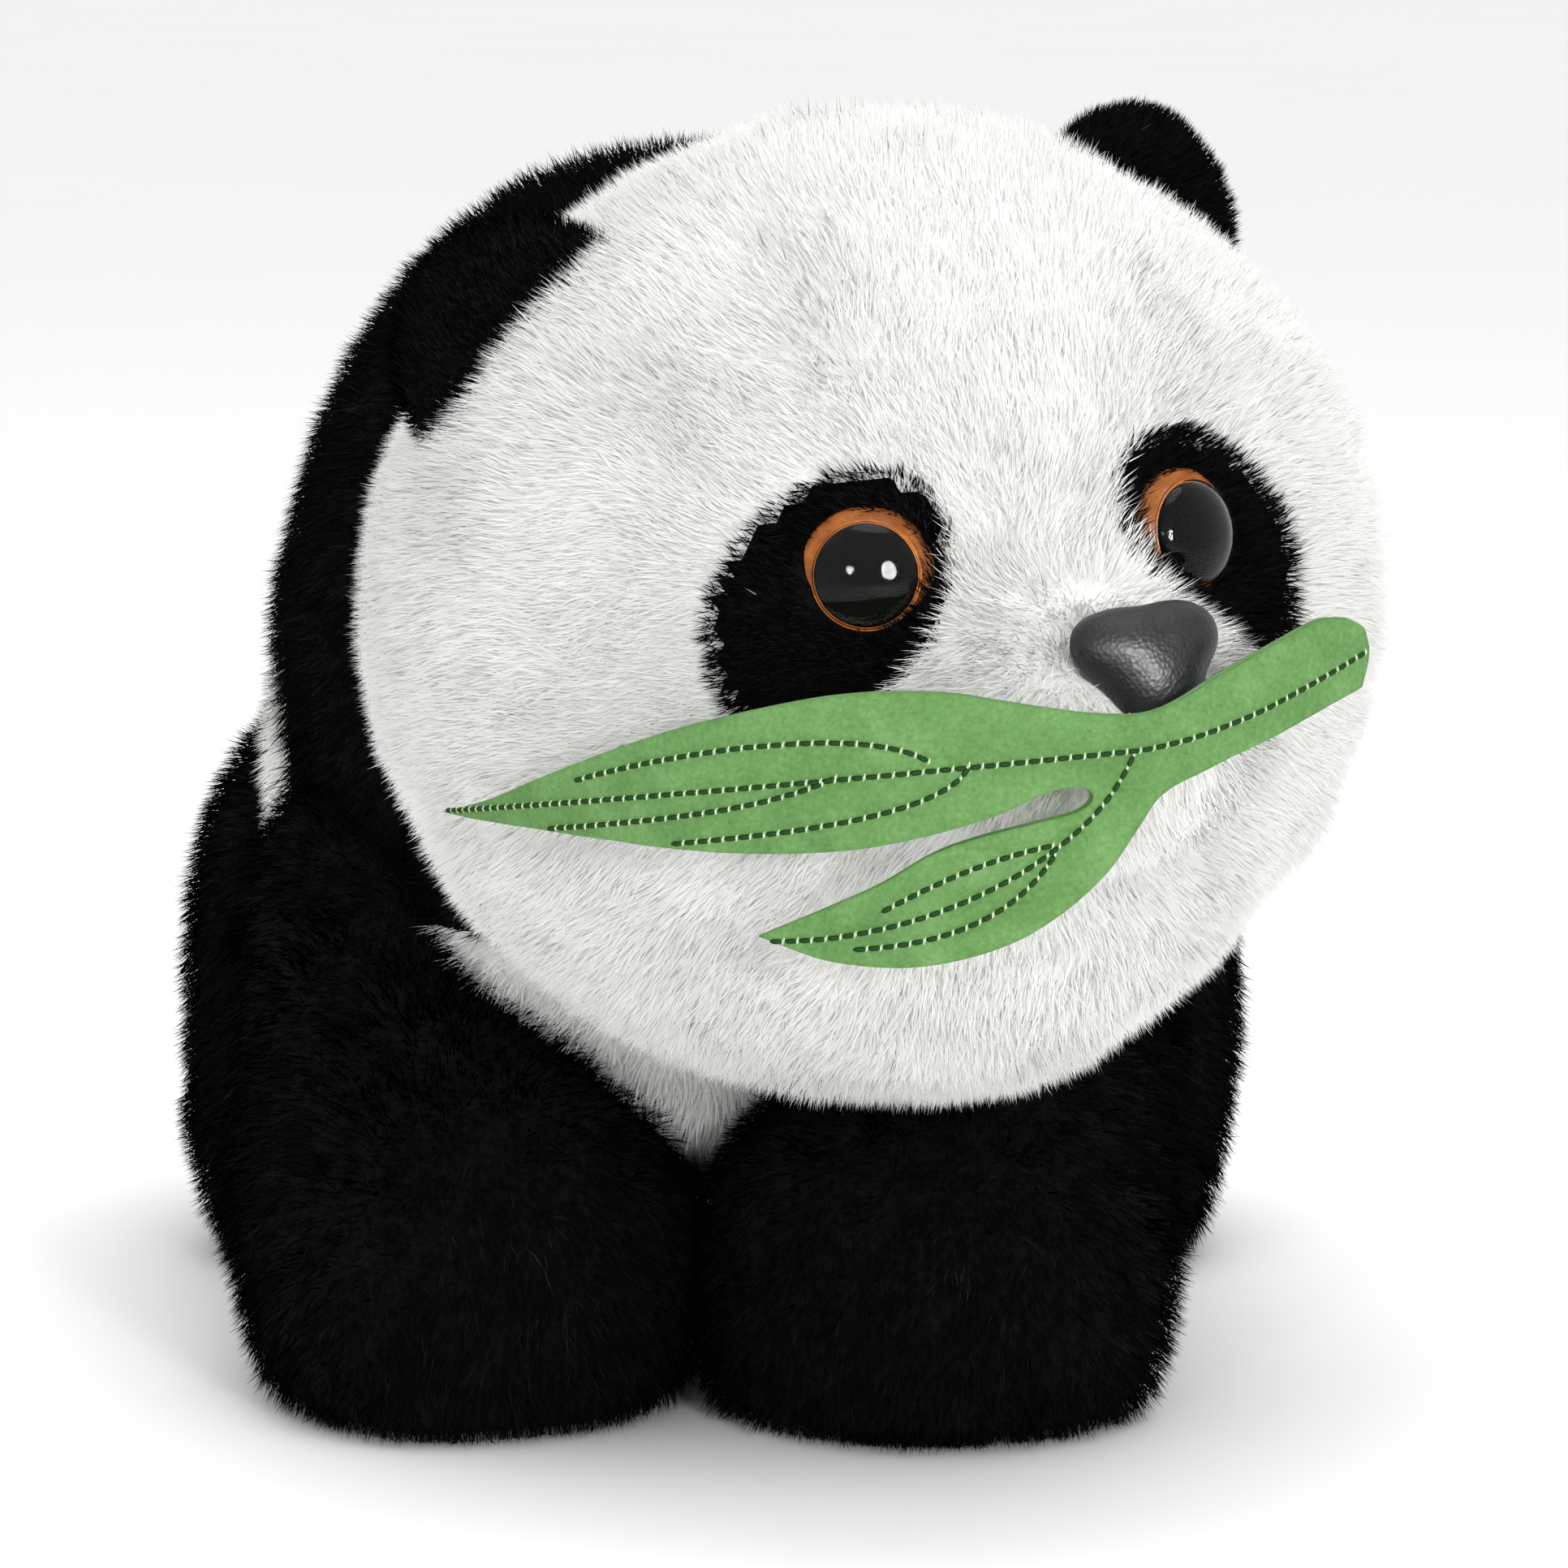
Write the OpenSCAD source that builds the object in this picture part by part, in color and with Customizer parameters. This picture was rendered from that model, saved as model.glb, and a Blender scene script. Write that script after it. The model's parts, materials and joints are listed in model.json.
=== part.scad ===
/* [Body] */
// Radius of the stuffed torso
torso_r = 76; // [74:0.5:78]
// Height of the middle of the torso above the floor
torso_z = 104; // [102:0.5:106]
// Thickness of pile fabric, backing and pile together
skin = 5; // [4:0.5:6]

/* [Head] */
// Radius of the stuffed head
head_r = 70; // [68:0.5:72]
// Height of the middle of the head above the floor
head_z = 122; // [121:0.5:124]
// How far the head is turned to the panda's own left
head_yaw = 21; // [18:1:25]
// How far the left side of the head is lifted
head_roll = 4.5; // [2:0.5:6]
// Radius of the muzzle
muzzle_r = 24.5; // [23.5:0.5:24.5]
// Diameter of a safety eye
eye_d = 18; // [16:0.5:18.5]

/* [Legs] */
// Radius of a front leg at the foot
front_foot_r = 33; // [30:0.5:34]
// Radius of a front leg at the shoulder
front_top_r = 27; // [25:0.5:28]
// Radius of a rear leg at the foot
rear_foot_r = 31; // [30:0.5:32]
// Radius of a rear leg at the hip
rear_top_r = 27; // [26:0.5:28]

/* [Sprig] */
// Thickness of one layer of felt
felt_t = 1.4; // [1:0.1:1.5]

/* [Hidden] */
$fn = 96;

// The whole part is shifted so that its box stands centred on the origin.
shift = [-3.566, 12.734, 0];
big = 400;                          // larger than the whole toy, for cuts
LEFT = 1;
RIGHT = -1;
WHITE = [0.93, 0.94, 0.91];
BLACK = [0.07, 0.07, 0.07];
FILL = [0.85, 0.87, 0.9];
GREEN = [0.49, 0.7, 0.39];

torso_c = [-4, 40, torso_z];
torso_in = torso_r - skin;
yoke_y = 52;                        // seam between shoulder yoke and flanks
belly_z = 52;                       // seam between flanks and belly

// Head and neck: the neck ball sits where the head is sewn to the torso.
head_c = [25.4, -60, head_z];
head_in = head_r - skin;
neck_c = [5, -14, 120];
neck_r = 32;
neck_fill_r = 28;
neck_gap = 0.5;
neck_aim = 12;                      // direction of the neck, between torso and face
head_lead = 2;                      // the head starts this far ahead of the neck's centre
torso_lag = 15;                     // the torso starts this far behind the neck's centre

muzzle_c = [0, -67, -9];
muzzle_in = muzzle_r - skin;
muzzle_far = norm(muzzle_c);         // from the head's centre to the muzzle's
muzzle_dip = atan2(-muzzle_c[2], -muzzle_c[1]);      // angle of the muzzle below the head's middle
chin_z = -38;
crown_x = 26;
crown_z = 1;                        // lower edge of the crown, where the eye patches reach the muzzle
back_y = 25;

// Eyes: place on the face, and the layers of one safety eye from its seat outward.
eye_az = 23;
eye_el = 13;
patch_az = 25;
patch_el = 9;
patch_r = 19;
eye_r = eye_d / 2 + 0.2;
eye_seat = 66;
iris_t = 1.4;
pupil_t = 0.6;
pupil_r = 6.6;
dome_h = 5.2;
shank_r = 2.2;
shank_len = 8;
washer_r = 8.6;
washer_t = 1.4;
washer_in = 2;                      // depth of the washer under the seat
clear = 0.3;                        // gap round pieces that sit in the stuffing

nose_tilt = 28;
nose_seat = 21.5;                    // distance of the nose seat from the muzzle centre
nose_round = 4.5;
nose_half_w = 7;
nose_washer_r = 5;

ear_lean = [42, 49];                // angle of the left and of the right ear from straight up
ear_out = 67;                       // distance of the ear's centre from the head's centre
ear_r = 17;
ear_base = 73;                      // distance of the ear's flat base from the head's centre
ear_t = 9;

// The felt sprig is two layers bent round an upright cylinder in front of the face.
sprig_c = [1, -22, 0];
sprig_r = 73.5;
layer_gap = 0.1;
stitch_t = 0.5;
stitch_w = 1.2;
big_leaf = [[-72, -16], [8, -5], 10.5];      // tip, root, half width
small_leaf = [[-49, -29], [4, -9], 7.5];
stem = [[-6, -8], [29, 1.5], 5.5];

// Legs: pivot at the top, centre of the foot on the floor, radii and swing.
front_pivot = [38, 4, 56];
front_foot = [[38, -38, 0], [38, -30, 0]];   // left, right
rear_pivot = [[54, 84, 48], [54, 84, 48]];   // left, right
rear_foot = [[57, 80, 0], [57, 80, 0]];
front_swing = 8;
rear_swing = 6;
pocket_gap = 0.8;
sole_t = 3;
pellet_r = 15;
pellet_z = 24;
head_room = 88;                     // the front legs stay out of this radius round the head

tail_r = 9;
tail_fill_r = 6;
tail_drop = 17;                     // angle of the tail below the middle of the torso
tail_gap = 1.2;

stitch_n = 9;
stitch_pitch = 5;

// ---------- helpers ----------

module head_frame() {
    translate(head_c) rotate([0, -head_roll, head_yaw]) children();
}

// Puts +Z along a direction out of the face; az is towards the panda's left.
module face_axis(az, el) {
    rotate([0, 0, az]) rotate([90 - el, 0, 0]) children();
}

// Everything further forward along the neck axis than a distance from the neck's centre.
module ahead_of(distance) {
    translate(neck_c) along_neck() translate([-big / 2, -big / 2, distance]) cube(big);
}

// Turns +Z to point forwards along the neck. A ball's poles point that way where the neck cuts it.
module along_neck() {
    rotate([90, 0, neck_aim]) children();
}

module torso_room() {
    // all that must stay free of torso: the head's side of the neck, the neck ball and the legs
    ahead_of(-torso_lag);
    translate(neck_c) sphere(neck_r + neck_gap);
    for (side = [LEFT, RIGHT]) {
        leg_room(front_at(side), front_foot_at(side), front_top_r, front_foot_r, front_swing);
        leg_room(rear_at(side), rear_foot_at(side), rear_top_r, rear_foot_r, rear_swing);
    }
}

function front_at(side) = [side * front_pivot[0], front_pivot[1], front_pivot[2]];
// The one of a [left, right] pair of places that belongs to a side.
function placed(pair, side) =
    let (p = side == LEFT ? pair[0] : pair[1])
    [side * p[0], p[1], p[2]];
function rear_at(side) = placed(rear_pivot, side);
function rear_foot_at(side) = placed(rear_foot, side);
function front_foot_at(side) = placed(front_foot, side);

// A leg: one turned form with a round top at its pivot, which widens down through the foot.
// It goes on past the floor, where it is cut level.
module leg_form(pivot, foot, top_r, foot_r) {
    run = foot - pivot;
    len = norm(run);
    past = 1.6 * len;
    end_r = top_r + (foot_r - top_r) * past / len;
    translate(pivot) rotate([0, 180 - acos(-run[2] / len), atan2(run[1], run[0])])
        rotate_extrude() intersection() {
            union() {
                circle(top_r);
                polygon([[-top_r, 0], [top_r, 0], [end_r, past], [-end_r, past]]);
            }
            translate([0, -big]) square(2 * big);
        }
}

// The pocket that a leg needs in the torso: a ball round its pivot and a cone wide enough for the swing.
module leg_room(pivot, foot, top_r, foot_r, swing) {
    run = foot - pivot;
    len = norm(run);
    translate(pivot) {
        sphere(top_r + pocket_gap);
        rotate([0, 180 - acos(-run[2] / len), atan2(run[1], run[0])])
            cylinder(h = 2 * len, r1 = top_r + 2 * pocket_gap,
                     r2 = 2 * foot_r - top_r + 2 * pocket_gap + 2 * len * tan(swing));
    }
}

// ---------- torso ----------

module torso_shell() {
    difference() {
        translate(torso_c) sphere(torso_r);
        translate(torso_c) sphere(torso_in);
        torso_room();
    }
}

module torso_stuffing() {
    color(FILL) difference() {
        translate(torso_c) along_neck() sphere(torso_in);
        torso_room();
    }
}

module shoulder_yoke() {
    color(BLACK) intersection() {
        torso_shell();
        translate([-big / 2, yoke_y - big, belly_z]) cube(big);
    }
}

module flank(side) {
    color(WHITE) intersection() {
        torso_shell();
        translate([side < 0 ? -big : 0, yoke_y, belly_z]) cube(big);
    }
}

module belly_panel() {
    color(WHITE) intersection() {
        torso_shell();
        translate([-big / 2, -big / 2, belly_z - big]) cube(big);
    }
}

// Ladder stitches that close the back seam after stuffing.
module closing_stitches() {
    color(WHITE)
        for (i = [0 : stitch_n - 1])
            translate(torso_c)
                rotate([(i - (stitch_n - 1) / 2) * stitch_pitch - 60, 0, 0])
                    translate([0, 0, torso_r + 0.8]) rotate([0, 90, 0])
                        cylinder(h = 5, r = 0.5, center = true, $fn = 16);
}

// ---------- neck ----------

module neck_stuffing() {
    color(FILL) translate(neck_c) sphere(neck_fill_r);
}

module neck_gusset() {
    color(BLACK) translate(neck_c) difference() {
        sphere(neck_r);
        sphere(neck_fill_r);
    }
}

// ---------- head ----------

module neck_room() {
    translate(neck_c) sphere(neck_r + neck_gap);
}

// Keeps what is on the head's side of the neck.
module ahead_of_neck() {
    difference() {
        intersection() {
            children();
            ahead_of(head_lead);
        }
        neck_room();
    }
}

module patch_zone(side) {
    face_axis(side * patch_az, patch_el) translate([0, 0, 40]) cylinder(h = 50, r = patch_r);
}

module head_shell() {
    difference() {
        sphere(head_r);
        sphere(head_in);
        translate(muzzle_c) sphere(muzzle_r);
        for (side = [LEFT, RIGHT]) patch_zone(side);
    }
}

module head_stuffing() {
    color(FILL) ahead_of_neck() difference() {
        union() {
            translate(head_c) along_neck() sphere(head_in);
            head_frame() translate(muzzle_c) sphere(muzzle_in);
        }
        head_frame() shank_rooms();
    }
}

module shank_rooms() {
    for (side = [LEFT, RIGHT])
        face_axis(side * eye_az, eye_el)
            translate([0, 0, eye_seat - shank_len - clear])
                cylinder(h = 30, r = washer_r + clear);
    nose_axis() translate([0, 0, nose_seat - shank_len - clear])
        cylinder(h = 30, r = nose_washer_r + clear);
}

// One panel of the head's shell, cut out by the box that its children give.
module head_panel() {
    color(WHITE) ahead_of_neck() head_frame() intersection() {
        head_shell();
        children();
    }
}

module crown_panel() {
    head_panel() translate([-crown_x, back_y - big, crown_z]) cube([2 * crown_x, big, big]);
}

// A cheek runs from the crown down to the chin, and the two meet under the muzzle.
module cheek(side) {
    head_panel() {
        translate([side < 0 ? -big - crown_x : crown_x, back_y - big, chin_z]) cube(big);
        translate([side < 0 ? -big : 0, back_y - big, chin_z]) cube([big, big, crown_z - chin_z]);
    }
}

module chin_panel() {
    head_panel() translate([-big / 2, back_y - big, chin_z - big]) cube(big);
}

module back_head_panel() {
    head_panel() translate([-big / 2, back_y, -big / 2]) cube(big);
}

// Muzzle cover, turned about the line from the head's middle to the muzzle's and open towards the head.
module muzzle_panel() {
    color(WHITE) head_frame() difference() {
        rotate([90 + muzzle_dip, 0, 0]) rotate_extrude() muzzle_profile();
        nose_axis() {
            cylinder(h = 40, r = shank_r);
            translate([0, 0, nose_seat]) cylinder(h = 40, r = muzzle_r);
        }
    }
}

// Half section of the muzzle shell, with the head's centre at the origin
module muzzle_profile() {
    difference() {
        translate([0, muzzle_far]) circle(muzzle_r);
        translate([0, muzzle_far]) circle(muzzle_in);
        circle(head_in);
        translate([-big, -big / 2]) square(big);
    }
}

module eye_patch(side) {
    color(BLACK) head_frame() difference() {
        intersection() {
            sphere(head_r);
            patch_zone(side);
        }
        sphere(head_in);
        translate(muzzle_c) sphere(muzzle_r);
        face_axis(side * eye_az, eye_el) {
            cylinder(h = big, r = shank_r);
            translate([0, 0, eye_seat]) cylinder(h = big, r = eye_r + clear);
        }
    }
}

module at_eye(side) {
    head_frame() face_axis(side * eye_az, eye_el) translate([0, 0, eye_seat]) children();
}

module eye_iris(side) {
    color([0.75, 0.43, 0.14]) at_eye(side) {
        cylinder(h = iris_t, r = eye_r);
        translate([0, 0, -shank_len]) cylinder(h = shank_len, r = shank_r);
    }
}

module eye_pupil(side) {
    color("black") at_eye(side) translate([0, 0, iris_t]) cylinder(h = pupil_t, r = pupil_r);
}

module eye_dome(side) {
    ball = (eye_r * eye_r + dome_h * dome_h) / (2 * dome_h);
    color([1, 1, 1, 0.4]) at_eye(side) translate([0, 0, iris_t]) difference() {
        intersection() {
            translate([0, 0, dome_h - ball]) sphere(ball);
            cylinder(h = dome_h + 1, r = eye_r);
        }
        cylinder(h = pupil_t, r = pupil_r);
    }
}

module eye_washer(side) {
    color("dimgray") at_eye(side) translate([0, 0, -washer_in - washer_t]) difference() {
        cylinder(h = washer_t, r = washer_r);
        cylinder(h = 3 * washer_t, r = shank_r, center = true);
    }
}

// The nose points forwards and up from the middle of the muzzle.
module nose_axis() {
    translate(muzzle_c) rotate([90 - nose_tilt, 0, 0]) children();
}

module nose() {
    color([0.16, 0.16, 0.17]) head_frame() nose_axis() translate([0, 0, nose_seat]) {
        intersection() {
            hull() {
                for (x = [-nose_half_w, nose_half_w])
                    translate([x, 3, 1]) sphere(nose_round, $fn = 32);
                translate([0, -4, 1]) sphere(nose_round, $fn = 32);
            }
            cylinder(h = 20, r = 20);
        }
        translate([0, 0, -shank_len]) cylinder(h = shank_len, r = shank_r);
    }
}

module nose_washer() {
    color("dimgray") head_frame() nose_axis() translate([0, 0, nose_seat - 4.6]) difference() {
        cylinder(h = 1.2, r = nose_washer_r);
        cylinder(h = 4, r = shank_r, center = true);
    }
}

// ---------- ears ----------

// Local ear frame: +Z away from the head, +Y to the back of the head.
module ear_half(side, back) {
    color(BLACK) head_frame() rotate([0, side < 0 ? -ear_lean[1] : ear_lean[0], 0]) difference() {
        translate([0, back ? ear_t / 2 : 0, ear_out]) rotate([90, 0, 0])
            cylinder(h = ear_t / 2, r = ear_r);
        translate([0, 0, ear_base - big]) translate([-big / 2, -big / 2, 0]) cube(big);
    }
}

// ---------- felt sprig ----------

// A pointed leaf between two points: the overlap of two circles.
module leaf_outline(leaf) {
    tip = leaf[0];
    root = leaf[1];
    half = leaf[2];
    run = root - tip;
    chord = norm(run) / 2;
    rad = (chord * chord + half * half) / (2 * half);
    translate((tip + root) / 2) rotate(atan2(run[1], run[0])) intersection() {
        translate([0, rad - half]) circle(rad);
        translate([0, half - rad]) circle(rad);
    }
}

// A straight strip between two points.
module strip(from, to, half) {
    run = to - from;
    translate(from) rotate(atan2(run[1], run[0])) translate([0, -half]) square([norm(run), 2 * half]);
}

module sprig_outline() {
    leaf_outline(big_leaf);
    leaf_outline(small_leaf);
    strip(stem[0], stem[1], stem[2]);
}

module vein_outline() {
    strip(big_leaf[0] + [6, 1], stem[1], stitch_w / 2);
    strip(small_leaf[0] + [5, 3], [0, -8], stitch_w / 2);
}

// Bends an outline drawn in front of the face round the sprig's cylinder.
module bent(inner, thick) {
    head_frame() intersection() {
        translate(sprig_c) difference() {
            cylinder(h = 200, r = inner + thick, center = true);
            cylinder(h = 201, r = inner, center = true);
        }
        rotate([90, 0, 0]) linear_extrude(200) children();
    }
}

module sprig_felt_back() {
    color(GREEN) bent(sprig_r, felt_t) sprig_outline();
}

module sprig_felt_front() {
    color(GREEN) bent(sprig_r + felt_t + layer_gap, felt_t) sprig_outline();
}

module sprig_stitching() {
    color([0.2, 0.36, 0.2]) bent(sprig_r + 2 * felt_t + 2 * layer_gap, stitch_t) vein_outline();
}

// ---------- legs ----------

module above(z) {
    translate([-big / 2, -big / 2, z]) cube(big);
}

module head_clear() {
    translate(head_c) sphere(head_room);
}

module leg_skin(pivot, foot, top_r, foot_r) {
    color(BLACK) difference() {
        leg_form(pivot, foot, top_r, foot_r);
        leg_form(pivot, foot, top_r - skin, foot_r - skin);
        translate([0, 0, sole_t - big]) above(0);
        head_clear();
    }
}

module leg_sole(pivot, foot, top_r, foot_r) {
    color(BLACK) intersection() {
        leg_form(pivot, foot, top_r, foot_r);
        translate([-big / 2, -big / 2, 0]) cube([big, big, sole_t]);
    }
}

module leg_stuffing(pivot, foot, top_r, foot_r) {
    color(FILL) difference() {
        leg_form(pivot, foot, top_r - skin, foot_r - skin);
        translate([0, 0, sole_t - big]) above(0);
        translate(pellet_at(pivot, foot)) sphere(pellet_r);
        head_clear();
    }
}

module leg_pellets(pivot, foot) {
    color([0.6, 0.6, 0.65]) translate(pellet_at(pivot, foot)) sphere(pellet_r);
}

function pellet_at(pivot, foot) = foot + (pivot - foot) * pellet_z / pivot[2];

// ---------- tail ----------

module at_tail() {
    translate(torso_c) rotate([-90 - tail_drop, 0, 0])
        translate([0, 0, torso_r + tail_gap + tail_r]) children();
}

module tail_skin() {
    color(WHITE) at_tail() difference() {
        sphere(tail_r);
        sphere(tail_fill_r);
    }
}

module tail_stuffing() {
    color(FILL) at_tail() sphere(tail_fill_r);
}

// ---------- the whole toy ----------

translate(shift) {
    torso_stuffing();
    shoulder_yoke();
    flank(LEFT);  // left_flank_panel
    flank(RIGHT);  // right_flank_panel
    belly_panel();
    closing_stitches();
    neck_stuffing();
    neck_gusset();
    head_stuffing();
    crown_panel();
    back_head_panel();
    cheek(LEFT);  // left_cheek_panel
    cheek(RIGHT);  // right_cheek_panel
    chin_panel();
    muzzle_panel();
    eye_patch(LEFT);  // left_eye_patch
    eye_dome(LEFT);  // left_eye_dome
    eye_pupil(LEFT);  // left_eye_pupil
    eye_iris(LEFT);  // left_eye_iris
    eye_washer(LEFT);  // left_eye_washer
    eye_patch(RIGHT);  // right_eye_patch
    eye_dome(RIGHT);  // right_eye_dome
    eye_pupil(RIGHT);  // right_eye_pupil
    eye_iris(RIGHT);  // right_eye_iris
    eye_washer(RIGHT);  // right_eye_washer
    nose();
    nose_washer();
    ear_half(LEFT, false);  // left_ear_front
    ear_half(LEFT, true);  // left_ear_back
    ear_half(RIGHT, false);  // right_ear_front
    ear_half(RIGHT, true);  // right_ear_back
    sprig_felt_front();
    sprig_felt_back();
    sprig_stitching();
    leg_skin(front_at(LEFT), front_foot_at(LEFT), front_top_r, front_foot_r);  // left_front_leg_skin
    leg_stuffing(front_at(LEFT), front_foot_at(LEFT), front_top_r, front_foot_r);  // left_front_leg_stuffing
    leg_sole(front_at(LEFT), front_foot_at(LEFT), front_top_r, front_foot_r);  // left_front_sole
    leg_pellets(front_at(LEFT), front_foot_at(LEFT));  // left_front_pellets
    leg_skin(front_at(RIGHT), front_foot_at(RIGHT), front_top_r, front_foot_r);  // right_front_leg_skin
    leg_stuffing(front_at(RIGHT), front_foot_at(RIGHT), front_top_r, front_foot_r);  // right_front_leg_stuffing
    leg_sole(front_at(RIGHT), front_foot_at(RIGHT), front_top_r, front_foot_r);  // right_front_sole
    leg_pellets(front_at(RIGHT), front_foot_at(RIGHT));  // right_front_pellets
    leg_skin(rear_at(LEFT), rear_foot_at(LEFT), rear_top_r, rear_foot_r);  // left_rear_leg_skin
    leg_stuffing(rear_at(LEFT), rear_foot_at(LEFT), rear_top_r, rear_foot_r);  // left_rear_leg_stuffing
    leg_sole(rear_at(LEFT), rear_foot_at(LEFT), rear_top_r, rear_foot_r);  // left_rear_sole
    leg_pellets(rear_at(LEFT), rear_foot_at(LEFT));  // left_rear_pellets
    leg_skin(rear_at(RIGHT), rear_foot_at(RIGHT), rear_top_r, rear_foot_r);  // right_rear_leg_skin
    leg_stuffing(rear_at(RIGHT), rear_foot_at(RIGHT), rear_top_r, rear_foot_r);  // right_rear_leg_stuffing
    leg_sole(rear_at(RIGHT), rear_foot_at(RIGHT), rear_top_r, rear_foot_r);  // right_rear_sole
    leg_pellets(rear_at(RIGHT), rear_foot_at(RIGHT));  // right_rear_pellets
    tail_skin();
    tail_stuffing();
}
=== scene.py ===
"""A plush panda that stands on four legs, with its head turned to its left and a felt sprig in its mouth.

Lengths are in millimetres in the toy's own frame: x to the panda's left, y to its back, z up from the
floor, with x = 0 midway between the shoulders. to_row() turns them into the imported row's metres.
"""
import json
import math

import bmesh
import bpy
import numpy as np
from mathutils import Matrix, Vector
from mathutils.geometry import delaunay_2d_cdt


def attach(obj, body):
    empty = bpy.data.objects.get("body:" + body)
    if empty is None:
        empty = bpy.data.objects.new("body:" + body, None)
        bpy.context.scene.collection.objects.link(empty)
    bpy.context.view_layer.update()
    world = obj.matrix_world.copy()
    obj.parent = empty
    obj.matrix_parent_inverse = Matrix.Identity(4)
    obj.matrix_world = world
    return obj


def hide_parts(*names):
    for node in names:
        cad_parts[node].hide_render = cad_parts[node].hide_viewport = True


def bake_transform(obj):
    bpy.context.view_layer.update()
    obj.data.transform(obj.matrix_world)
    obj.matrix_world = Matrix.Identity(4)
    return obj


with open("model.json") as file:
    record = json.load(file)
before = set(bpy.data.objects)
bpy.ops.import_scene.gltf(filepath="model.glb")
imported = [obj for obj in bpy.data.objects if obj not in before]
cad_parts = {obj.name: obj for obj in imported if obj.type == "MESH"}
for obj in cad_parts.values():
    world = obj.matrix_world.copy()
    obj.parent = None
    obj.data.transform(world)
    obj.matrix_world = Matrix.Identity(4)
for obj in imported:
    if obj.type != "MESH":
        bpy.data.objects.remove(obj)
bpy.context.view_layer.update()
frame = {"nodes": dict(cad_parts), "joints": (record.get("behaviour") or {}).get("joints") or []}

MM = 0.001
LEFT, RIGHT = 1, -1
SIDES = {LEFT: "left", RIGHT: "right"}

# ---------- places, from the frame ----------

joint_at = {j["name"]: np.array(j["pos_m"]) for j in frame["joints"]}
shoulders = (joint_at["left_front_leg_swing"] + joint_at["right_front_leg_swing"]) / 2
SHOULDER_MM = np.array([0.0, 4.0, 56.0])
ORIGIN = shoulders - SHOULDER_MM * MM
NECK = (joint_at["head_turn"] - ORIGIN) / MM
HEAD = NECK + np.array([20.4, -46.0, 2.0])
HEAD_YAW = 21.0
HEAD_ROLL = 4.5


def to_row(points):
    return np.asarray(points) * MM + ORIGIN


def turned(yaw, roll):
    """Matrix that lifts the left side by roll and then turns to the left by yaw, in degrees."""
    y, r = math.radians(yaw), math.radians(roll)
    about_z = np.array([[math.cos(y), -math.sin(y), 0], [math.sin(y), math.cos(y), 0], [0, 0, 1]])
    about_y = np.array([[math.cos(r), 0, -math.sin(r)], [0, 1, 0], [math.sin(r), 0, math.cos(r)]])
    return about_z @ about_y


HEAD_TURN = turned(HEAD_YAW, HEAD_ROLL)


def head_to_toy(points):
    return np.asarray(points) @ HEAD_TURN.T + HEAD


def toy_to_head(points):
    return (np.asarray(points) - HEAD) @ HEAD_TURN


UP = np.array([0, 0, 1.0])


def unit(v):
    return v / np.maximum(np.linalg.norm(v, axis=-1, keepdims=True), 1e-9)


# ---------- noise ----------


def lattice(ix, iy, iz, seed):
    """A repeatable random number from -1 to 1 for each point of a grid."""
    with np.errstate(over="ignore"):
        n = (
            ix.astype(np.uint32) * np.uint32(374761393)
            + iy.astype(np.uint32) * np.uint32(668265263)
            + iz.astype(np.uint32) * np.uint32(2246822519)
            + np.uint32(seed * 3266489917 % 4294967296)
        )
        n = (n ^ (n >> np.uint32(13))) * np.uint32(1274126177)
        n = (n ^ (n >> np.uint32(16))) * np.uint32(2654435761)
        n = n ^ (n >> np.uint32(15))
    return n.astype(np.float64) / 2147483648.0 - 1.0


def noise(points, size, seed):
    """Smooth noise from -1 to 1 whose lumps are about size across."""
    q = np.asarray(points) / size + 1000.0
    cell = np.floor(q)
    f = q - cell
    f = f * f * (3 - 2 * f)
    cell = cell.astype(np.int64)
    total = 0
    for dx in (0, 1):
        for dy in (0, 1):
            for dz in (0, 1):
                w = (
                    (f[:, 0] if dx else 1 - f[:, 0])
                    * (f[:, 1] if dy else 1 - f[:, 1])
                    * (f[:, 2] if dz else 1 - f[:, 2])
                )
                total = total + w * lattice(cell[:, 0] + dx, cell[:, 1] + dy, cell[:, 2] + dz, seed)
    return total


def noise_vector(points, size, seed):
    return np.stack([noise(points, size, seed + k) for k in (0, 101, 202)], axis=1)


# ---------- soft shapes: distance fields and the skins grown on them ----------


def ellipsoid(p, centre, radii):
    q = p - np.asarray(centre, float)
    r = np.asarray(radii, float)
    k0 = np.linalg.norm(q / r, axis=1)
    k1 = np.linalg.norm(q / (r * r), axis=1)
    return k0 * (k0 - 1) / np.maximum(k1, 1e-9)


def round_cone(p, a, b, ra, rb):
    a, b = np.asarray(a, float), np.asarray(b, float)
    run = b - a
    t = np.clip((p - a) @ run / (run @ run), 0, 1)
    return np.linalg.norm(p - a - t[:, None] * run, axis=1) - (ra + (rb - ra) * t)


def join(a, b, k):
    h = np.clip(0.5 + 0.5 * (b - a) / k, 0, 1)
    return b * (1 - h) + a * h - k * h * (1 - h)


def common(a, b, k):
    return -join(-a, -b, k)


MUZZLE = np.array([3.5, -60.5, -8.0])


def head_field(p):
    """The stuffed head in its own turned frame."""
    d = ellipsoid(p, (0.3, 0, 1.0), (72.3, 62, 68.5))
    d = join(d, ellipsoid(p, (0, -28, 6), (45, 35, 42)), 8)
    d = join(d, ellipsoid(p, (0, -30, -32), (36, 32, 28)), 10)
    return join(d, ellipsoid(p, MUZZLE, (25, 28, 19)), 9)


def torso_field(p):
    d = ellipsoid(p, (-4, 42, 103), (62.5, 74, 79))
    d = common(d, NECK[1] + 4 - p[:, 1], 18)
    d = join(d, ellipsoid(p, (-4, 58, 80), (66, 46, 42)), 12)
    return join(d, ellipsoid(p, (-2, -3, 62), (44, 36, 34)), 12)


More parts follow.
